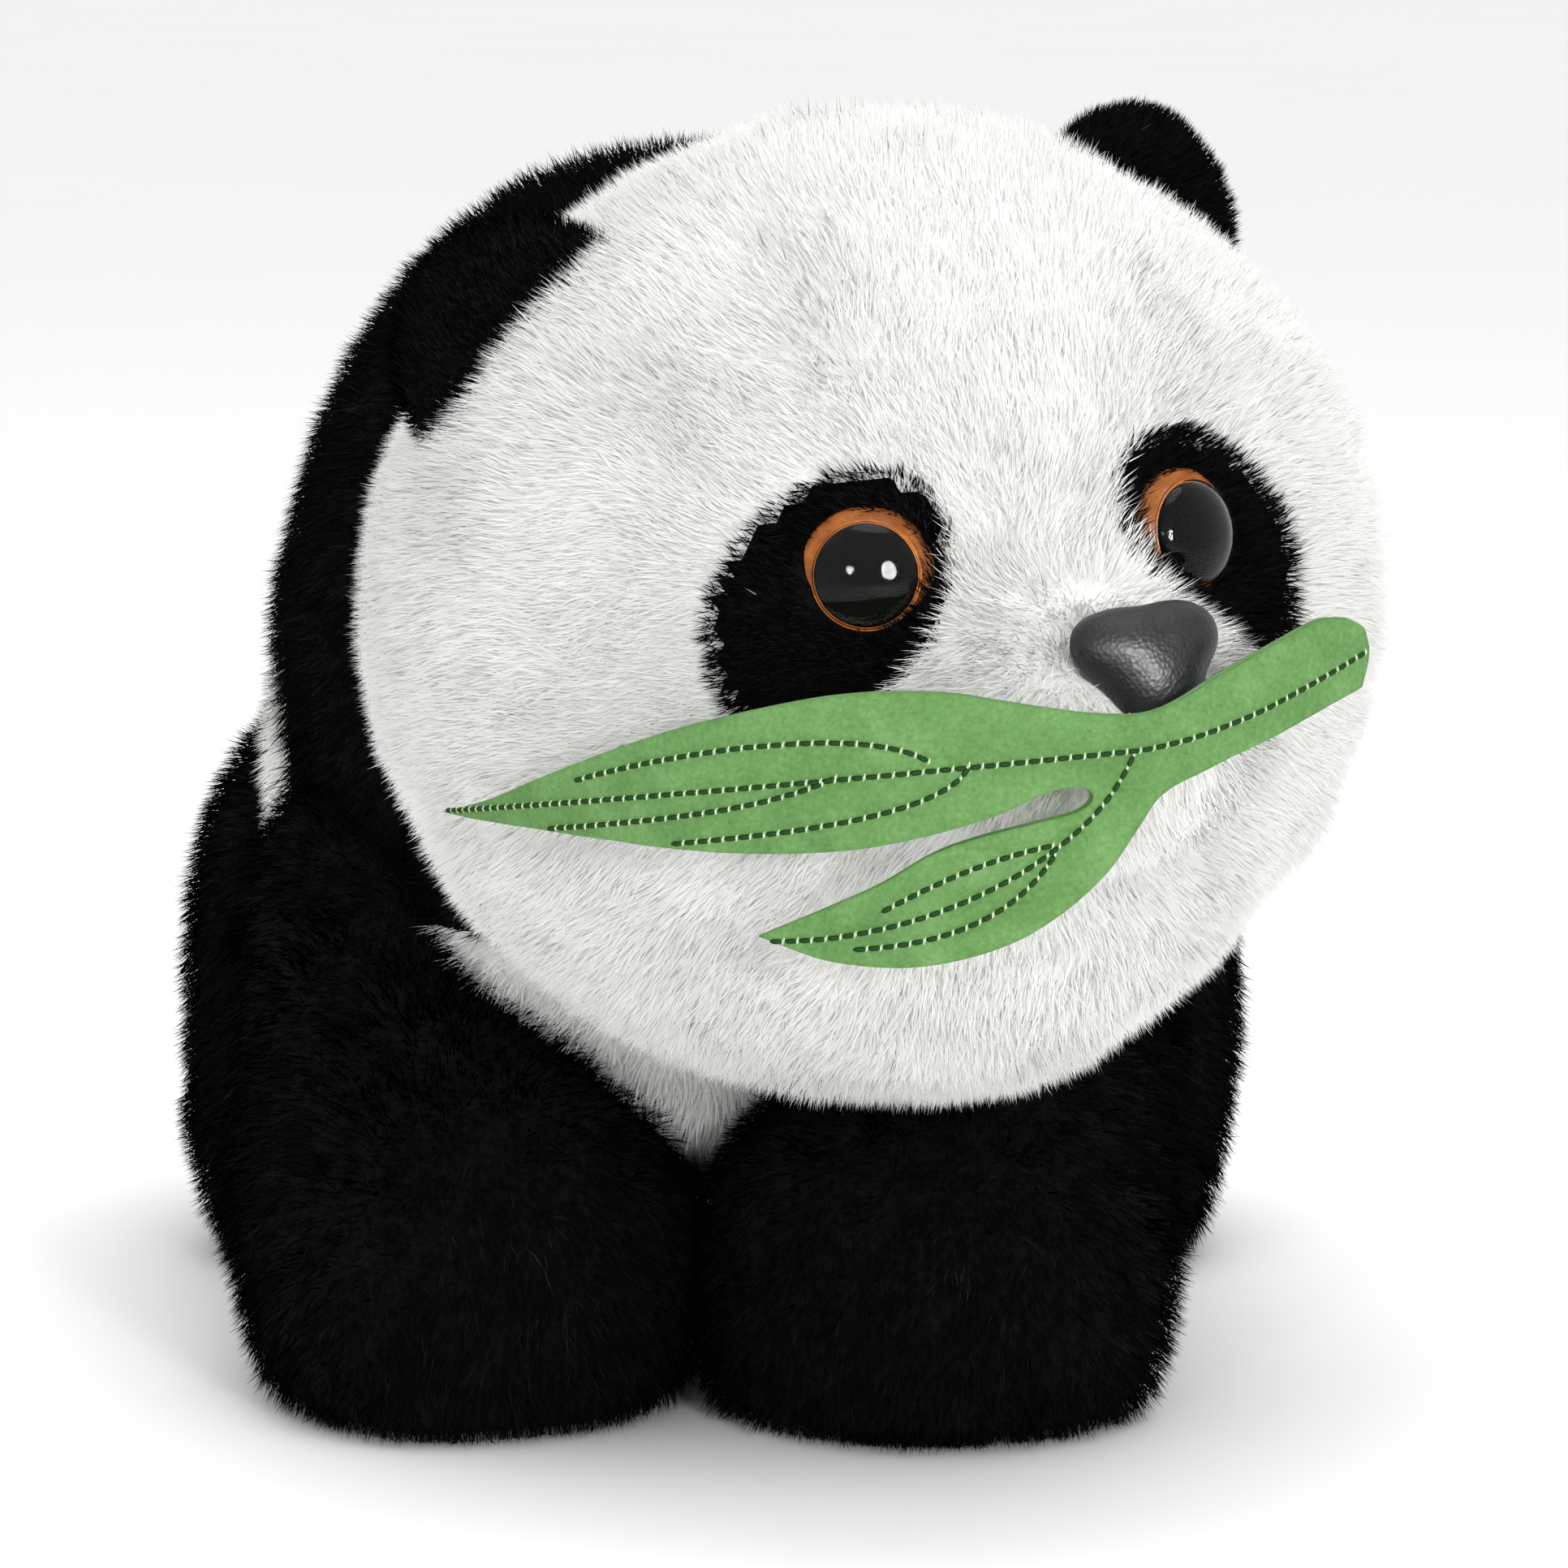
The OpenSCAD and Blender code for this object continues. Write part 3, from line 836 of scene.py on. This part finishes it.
def make_torso():
    skin = new_mesh("torso_skin", torso_skin.points, torso_skin.faces, [WHITE_BACKING, BLACK_BACKING])
    centres = torso_skin.points[torso_skin.faces].mean(axis=1)
    skin.data.polygons.foreach_set("material_index", yoke_zone(centres).astype(np.int32))
    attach(skin, "torso")
    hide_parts("torso_stuffing")
    clear = outside(head_in_toy, *LEG_FIELDS.values())
    zones = {
        "shoulder_yoke": lambda p: yoke_zone(p),
        "belly_panel": lambda p: ~yoke_zone(p) & (p[:, 2] < 52),
        "left_flank_panel": lambda p: ~yoke_zone(p) & (p[:, 2] >= 52) & (p[:, 0] > -4),
        "right_flank_panel": lambda p: ~yoke_zone(p) & (p[:, 2] >= 52) & (p[:, 0] <= -4),
    }
    for k, (panel, zone) in enumerate(zones.items()):
        black = panel == "shoulder_yoke"
        shades = BLACK_SHADES if black else WHITE_SHADES

        def mask(local, at, zone=zone):
            return zone(at) * clear(at)

        fur = pile(panel + "_pile", torso_skin, 1.9, mask, body_flow, shades, 110 + k,
                   length=LONG_PILE, width=0.21)
        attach(fur, "torso")
        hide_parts(panel)


def leg_flow(at):
    return np.tile(np.array([0.0, -0.15, -1.0]), (len(at), 1))


def make_leg(end, side):
    name = f"{SIDES[side]}_{end}_leg"
    field = LEG_FIELDS[end, side]
    if end == "front":
        centre = (side * 38, -14, 48)
        others = [torso_field, head_in_toy, LEG_FIELDS["front", -side]]
    else:
        centre = (side * 57, 76, 44)
        others = [torso_field, LEG_FIELDS["rear", -side]]
    seed = side + (2 if end == "front" else 7)
    skin = Skin(field, centre, 6, 130 + seed, lump=1.1)
    base = new_mesh(name + "_padded_skin", skin.points, skin.faces, [BLACK_BACKING])
    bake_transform(base)
    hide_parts(name + "_stuffing", name.replace("_leg", "_sole"))
    clear = outside(*others)

    def mask(local, at):
        return clear(at) * (at[:, 2] > 1.5)

    fur = pile(name + "_pile", skin, 2.2, mask, leg_flow, BLACK_SHADES, 150 + seed,
               length=LONG_PILE, width=0.21)
    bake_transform(fur)
    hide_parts(name + "_skin")


def tail_field(p):
    return ellipsoid(p, (0, 0, 0), (9, 8, 11))


def make_tail():
    at = (joint_at["tail_wag"] - ORIGIN) / MM + np.array([0, 8.5, -4])
    skin = Skin(tail_field, (0, 0, 0), 5, 170, lump=0.5, to_toy=lambda p: at + p)
    base = new_mesh("tail_padded_skin", skin.points, skin.faces, [WHITE_BACKING])
    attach(base, "tail")
    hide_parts("tail_stuffing")

    def mask(local, at_toy):
        return outside(torso_field)(at_toy)

    def flow(at_toy):
        return np.tile(np.array([0, 0.4, -1.0]), (len(at_toy), 1))

    fur = pile("tail_pile", skin, 2.2, mask, flow, WHITE_SHADES, 171, length=6.5, width=0.24)
    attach(fur, "tail")
    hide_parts("tail_skin")


# ---------- the felt sprig ----------

BEND_AT = np.array([1.0, -22.0])
BEND_R = 74.0
FELT_T = 1.0
LAYER_GAP = 0.06
FELT_GRID = 1.1


def bezier(points, t):
    p = np.asarray(points, float)
    t = np.asarray(t)[:, None]
    return ((1 - t) ** 3 * p[0] + 3 * t * (1 - t) ** 2 * p[1] + 3 * t * t * (1 - t) * p[2] + t ** 3 * p[3])


def smooth_run(points, steps=8):
    """A curve through the points of one run of an outline, which starts and ends at its corners."""
    p = np.asarray(points, float)
    p = np.vstack([2 * p[0] - p[1], p, 2 * p[-1] - p[-2]])
    out = []
    for k in range(1, len(p) - 2):
        for t in np.arange(steps) / steps:
            out.append(0.5 * (2 * p[k] + (p[k + 1] - p[k - 1]) * t
                              + (2 * p[k - 1] - 5 * p[k] + 4 * p[k + 1] - p[k + 2]) * t * t
                              + (3 * p[k] - p[k - 1] - 3 * p[k + 1] + p[k + 2]) * t ** 3))
    return out


# The sprig's flat shape: along the bend from the mouth and up from the head's middle, from corner to corner.
SPRIG_RUNS = [
    [(-113.5, -15.8), (-99, -12.2), (-84, -7), (-69, -2), (-57, 1), (-45, 3.1), (-36, 3.6), (-27, 2.8),
     (-18, 0.6), (-8, -1.7), (0, -2.2), (9, 1.0), (18, 4), (26, 6), (30.5, 5.8)],
    [(30.5, 5.8), (33.6, 4.0), (34.6, 1.2)],
    [(34.6, 1.2), (34.0, -1.6), (33.0, -4.0)],
    [(33.0, -4.0), (26, -5.6), (17, -8), (8, -10.3), (0, -13), (-3.8, -17), (-8, -22), (-14, -26.8),
     (-21, -30.4), (-29, -32.4), (-37, -32.8), (-46, -31.4), (-54.5, -28.2)],
    [(-54.5, -28.2), (-46, -25), (-38, -21.8), (-31, -18.2), (-25, -16.4), (-18, -15.2), (-12, -14.2),
     (-9.8, -12.6), (-11, -11), (-15, -11), (-23, -13.7), (-33, -15.9), (-42, -17), (-53, -17.2),
     (-65, -16.7), (-78, -15.8), (-94, -15.4), (-113.5, -15.8)],
]


def sprig_outline():
    """Points all the way round the sprig."""
    return [point for run in SPRIG_RUNS for point in smooth_run(run)]


def sprig_point(a, b, lift):
    """A point of the flat sprig bent round the face: a along it, b up, lift off its back face."""
    f = a / BEND_R
    r = BEND_R + lift
    return np.stack([BEND_AT[0] + r * np.sin(f), BEND_AT[1] - r * np.cos(f), b], axis=-1)


def sprig_wave(a, b):
    """Soft unevenness of the felt, so that it isn't a perfect bend."""
    flat = np.stack([a, b, 0 * a], axis=-1)
    return 0.7 * noise(flat, 22, 201) + 0.16 * noise(flat, 5, 202)


def felt_layer(name, low, node, fuzz_seed):
    """One layer of felt: a triangulated outline, given a thickness. Returns the piece and its flat area."""
    coords = [Vector((float(x), float(y))) for x, y in sprig_outline()][::-1]
    outline_faces = [list(range(len(coords)))]
    for k, x in enumerate(np.arange(-114, 36, FELT_GRID)):
        for y in np.arange(-36 + (k % 2) * FELT_GRID / 2, 8, FELT_GRID):
            coords.append(Vector((float(x), float(y))))
    flat, _, faces, _, _, _ = delaunay_2d_cdt(coords, [], outline_faces, 1, 1e-4)
    used = sorted({i for f in faces for i in f})
    order = {v: k for k, v in enumerate(used)}
    flat = np.array([flat[i] for i in used])
    faces = [tuple(order[i] for i in f) for f in faces]
    wave = sprig_wave(flat[:, 0], flat[:, 1])
    count = len(flat)
    bottom = sprig_point(flat[:, 0], flat[:, 1], low + wave)
    fuzz = 0.05 * noise(np.c_[flat, np.zeros(count)], 1.3, fuzz_seed)
    top = sprig_point(flat[:, 0], flat[:, 1], low + FELT_T + wave + fuzz)
    edges = {(f[i], f[(i + 1) % len(f)]) for f in faces for i in range(len(f))}
    rim = sorted((a, b) for a, b in edges if (b, a) not in edges)
    all_faces = [tuple(reversed(f)) for f in faces]
    all_faces += [tuple(i + count for i in f) for f in faces]
    all_faces += [(a, b, b + count, a + count) for a, b in rim]
    local = np.vstack([bottom, top])
    obj = new_mesh(name, head_to_toy(local), all_faces, [GREEN_FELT])
    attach(obj, "sprig")
    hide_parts(node)
    corners = flat[np.array([f[:3] for f in faces])]
    one, two = corners[:, 1] - corners[:, 0], corners[:, 2] - corners[:, 0]
    return obj, float(abs(one[:, 0] * two[:, 1] - one[:, 1] * two[:, 0]).sum() / 2) * MM * MM


def felt_material():
    m, nodes, links, shader = material("green_felt")
    fibres = noise_node(nodes, links, 1400.0, 8.0, 0.75)
    blotch = noise_node(nodes, links, 160.0, 3.0, 0.5)
    mix = nodes.new("ShaderNodeMix")
    mix.data_type = "FLOAT"
    mix.inputs["Factor"].default_value = 0.35
    links.new(fibres.outputs["Fac"], mix.inputs[2])
    links.new(blotch.outputs["Fac"], mix.inputs[3])
    links.new(ramp_node(nodes, links, mix.outputs[0],
                        [(0.36, (0.085, 0.19, 0.055)), (0.5, (0.12, 0.26, 0.08)),
                         (0.64, (0.175, 0.33, 0.12))]),
              shader.inputs["Base Color"])
    shader.inputs["Roughness"].default_value = 0.92
    shader.inputs["Specular IOR Level"].default_value = 0.05
    shader.inputs["Sheen Weight"].default_value = 0.1
    shader.inputs["Sheen Roughness"].default_value = 0.5
    shader.inputs["Sheen Tint"].default_value = (0.75, 1.0, 0.65, 1)
    bump_node(nodes, links, fibres.outputs["Fac"], shader, 0.5, 0.0004)
    return m


GREEN_FELT = felt_material()


def thread_material(name, colour):
    m, nodes, links, shader = material(name)
    twist = nodes.new("ShaderNodeTexWave")
    twist.inputs["Scale"].default_value = 900.0
    twist.inputs["Distortion"].default_value = 1.5
    coords = nodes.new("ShaderNodeTexCoord")
    links.new(coords.outputs["Object"], twist.inputs["Vector"])
    dark = tuple(0.6 * c for c in colour)
    links.new(ramp_node(nodes, links, twist.outputs["Fac"], [(0.2, dark), (0.8, colour)]),
              shader.inputs["Base Color"])
    shader.inputs["Roughness"].default_value = 0.6
    shader.inputs["Specular IOR Level"].default_value = 0.05
    return m


VEINS = [
    [(-112, -15.4), (-80, -10.6), (-45, -5.8), (-3, -7.0)],
    [(-3, -7.0), (8, -6.6), (19, -3.2), (33.6, 0.6)],
    [(-81, -8.2), (-60, -2.4), (-38, -0.2), (-30.5, -5.8)],
    [(-87, -15.2), (-68, -12.6), (-52, -11.4), (-42.5, -7.2)],
    [(-66, -16.0), (-48, -14.2), (-28, -12.6), (-25.5, -6.6)],
    [(-53, -28.9), (-30, -29.2), (-10, -19), (-4, -7.4)],
    [(-38, -25.4), (-30, -21.6), (-24, -19.2), (-15.4, -18.2)],
    [(-42, -30.2), (-30, -30), (-21, -27.4), (-15.2, -19.4)],
]
STITCH_PITCH = 1.9


def tube(path, radius, sides, name, mat):
    """Points and faces of closed round rods, one for each path."""
    points, faces = [], []
    for line in path:
        run = unit(np.gradient(line, axis=0))
        side = unit(np.cross(run, toy_out(line)))
        up = np.cross(run, side)
        start = len(points)
        for k in range(len(line)):
            end = k in (0, len(line) - 1)
            r = radius * (0.45 if end else 1.0)
            for j in range(sides):
                a = 2 * math.pi * j / sides
                points.append(line[k] + r * (math.cos(a) * side[k] + math.sin(a) * up[k]))
        for k in range(len(line) - 1):
            for j in range(sides):
                i = (j + 1) % sides
                faces.append((start + k * sides + j, start + k * sides + i,
                              start + (k + 1) * sides + i, start + (k + 1) * sides + j))
        faces.append(tuple(start + j for j in reversed(range(sides))))
        last = start + (len(line) - 1) * sides
        faces.append(tuple(last + j for j in range(sides)))
    return new_mesh(name, head_to_toy(np.array(points)), faces, [mat])


def toy_out(line):
    out = line - np.array([BEND_AT[0], BEND_AT[1], 0])
    out[:, 2] = 0
    return out


def make_sprig():
    front, area = felt_layer("sprig_felt_front_layer", FELT_T + LAYER_GAP, "sprig_felt_front", 211)
    back, _ = felt_layer("sprig_felt_back_layer", 0.0, "sprig_felt_back", 212)
    thread = thread_material("vein_thread", (0.015, 0.06, 0.012))
    light = thread_material("vein_tick_thread", (0.62, 0.76, 0.46))
    runs, ticks = [], []
    felt_top = 2 * FELT_T + LAYER_GAP
    for vein in VEINS:
        fine = bezier(vein, np.linspace(0, 1, 200))
        along = np.concatenate([[0], np.cumsum(np.linalg.norm(np.diff(fine, axis=0), axis=1))])
        count = max(2, int(round(along[-1] / STITCH_PITCH)))
        for k in range(count):
            s = np.linspace(k + 0.06, k + 0.94, 5) / count * along[-1]
            flat = np.stack([np.interp(s, along, fine[:, 0]), np.interp(s, along, fine[:, 1])], axis=1)
            sag = np.array([-0.05, 0.16, 0.22, 0.16, -0.05])
            wave = sprig_wave(flat[:, 0], flat[:, 1])
            runs.append(sprig_point(flat[:, 0], flat[:, 1], felt_top + sag + wave))
            mid = np.array([np.interp((k + 0.98) / count * along[-1], along, fine[:, c]) for c in (0, 1)])
            lean = np.array([0.16, 0.46])
            flat = np.stack([mid - lean, mid, mid + lean])
            wave = sprig_wave(flat[:, 0], flat[:, 1])
            ticks.append(sprig_point(flat[:, 0], flat[:, 1], felt_top + np.array([0, 0.2, 0]) + wave))
    veins = tube(runs, 0.34, 6, "sprig_vein_stitches", thread)
    crosses = tube(ticks, 0.23, 6, "sprig_vein_ticks", light)
    for obj in (veins, crosses):
        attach(obj, "sprig")
    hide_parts("sprig_stitching")


# ---------- CAD nodes that stay, inside the toy ----------


def dress_hidden_nodes():
    """The washers, pellets, neck and closing stitches keep their CAD shape and get finished materials."""
    fill, nodes, links, shader = material("fibre_fill_wadding")
    tex = noise_node(nodes, links, 500.0, 8.0, 0.8)
    links.new(ramp_node(nodes, links, tex.outputs["Fac"],
                        [(0.3, (0.7, 0.72, 0.74)), (0.7, (0.92, 0.93, 0.94))]),
              shader.inputs["Base Color"])
    shader.inputs["Roughness"].default_value = 1.0
    bump_node(nodes, links, tex.outputs["Fac"], shader, 0.8, 0.001)
    washer, nodes, links, shader = material("washer_moulding")
    tex = noise_node(nodes, links, 900.0)
    links.new(ramp_node(nodes, links, tex.outputs["Fac"],
                        [(0.3, (0.66, 0.66, 0.62)), (0.7, (0.8, 0.8, 0.77))]),
              shader.inputs["Base Color"])
    shader.inputs["Roughness"].default_value = 0.5
    pellets, nodes, links, shader = material("pellet_bag")
    coords = nodes.new("ShaderNodeTexCoord")
    beads = nodes.new("ShaderNodeTexVoronoi")
    beads.inputs["Scale"].default_value = 350.0
    links.new(coords.outputs["Object"], beads.inputs["Vector"])
    links.new(ramp_node(nodes, links, beads.outputs["Distance"],
                        [(0.0, (0.7, 0.72, 0.76)), (0.8, (0.3, 0.32, 0.36))]),
              shader.inputs["Base Color"])
    shader.inputs["Roughness"].default_value = 0.6
    bump_node(nodes, links, beads.outputs["Distance"], shader, 0.9, 0.001)
    looks = {"washer": washer, "pellets": pellets, "stuffing": fill, "gusset": BLACK_BACKING,
             "stitches": thread_material("ladder_thread", (0.85, 0.86, 0.83))}
    for name, obj in frame["nodes"].items():
        for key, look in looks.items():
            if key in name and obj.material_slots:
                for slot in obj.material_slots:
                    slot.material = look


# ---------- camera, floor and light ----------

CAMERA_AT = np.array([12.4, 0.0, 95.0])
CAMERA_UP = 8.0
CAMERA_FAR = 1000.0
CAMERA_LENS = 148.9
CAMERA_SHIFT = -0.0285
FLOOR_HALF = 12.0


def make_camera():
    data = bpy.data.cameras.new("camera")
    data.lens = CAMERA_LENS
    data.sensor_width = 36.0
    data.shift_y = CAMERA_SHIFT
    data.clip_end = 50
    cam = bpy.data.objects.new("camera", data)
    bpy.context.scene.collection.objects.link(cam)
    e = math.radians(CAMERA_UP)
    off = np.array([0, -math.cos(e), math.sin(e)]) * CAMERA_FAR
    cam.location = Vector(to_row(CAMERA_AT + off))
    cam.rotation_euler = (Vector(to_row(CAMERA_AT)) - cam.location).to_track_quat("-Z", "Y").to_euler()
    bpy.context.scene.camera = cam


def softbox(name, at, size, power, reflection_only=False):
    """A round lamp aimed at the toy. With reflection_only it shows only in shiny surfaces."""
    data = bpy.data.lights.new(name, "AREA")
    data.shape = "DISK"
    data.size = size
    data.energy = power
    lamp = bpy.data.objects.new(name, data)
    bpy.context.scene.collection.objects.link(lamp)
    lamp.location = at
    lamp.visible_diffuse = not reflection_only
    aim_at = Vector(to_row([0, -10, 95]))
    lamp.rotation_euler = (aim_at - lamp.location).to_track_quat("-Z", "Y").to_euler()


def make_stage():
    mesh = bpy.data.meshes.new("floor")
    h = FLOOR_HALF
    mesh.from_pydata([(-h, -h, 0), (h, -h, 0), (h, h, 0), (-h, h, 0)], [], [(0, 1, 2, 3)])
    floor = bpy.data.objects.new("floor", mesh)
    bpy.context.scene.collection.objects.link(floor)
    m, nodes, links, shader = material("floor_paper")
    tex = noise_node(nodes, links, 3.0)
    links.new(ramp_node(nodes, links, tex.outputs["Fac"],
                        [(0.3, (0.965, 0.965, 0.965)), (0.7, (0.98, 0.98, 0.98))]),
              shader.inputs["Base Color"])
    shader.inputs["Roughness"].default_value = 0.9
    mesh.materials.append(m)
    softbox("key", (0.42, -1.25, 0.34), 0.13, 5)
    softbox("fill", (-0.42, -1.25, 0.34), 0.06, 1.3)
    softbox("key_in_the_eyes", (0.42, -1.26, 0.34), 0.40, 42, reflection_only=True)
    softbox("fill_in_the_eyes", (-0.42, -1.26, 0.34), 0.16, 6, reflection_only=True)
    softbox("top", (0.1, -0.2, 1.6), 1.2, 9)
    world = bpy.data.worlds.new("studio")
    world.use_nodes = True
    world.node_tree.nodes["Background"].inputs["Color"].default_value = (1, 1, 1, 1)
    world.node_tree.nodes["Background"].inputs["Strength"].default_value = 0.92
    bpy.context.scene.world = world
    bpy.context.scene.view_settings.view_transform = "Standard"


make_camera()
make_stage()
make_head()
for side in (LEFT, RIGHT):
    make_eye_patch(side)
    make_eye(side)
    make_ear(side)
make_nose()
make_sprig()
make_torso()
for side in (LEFT, RIGHT):
    for end in ("front", "rear"):
        make_leg(end, side)
make_tail()
dress_hidden_nodes()
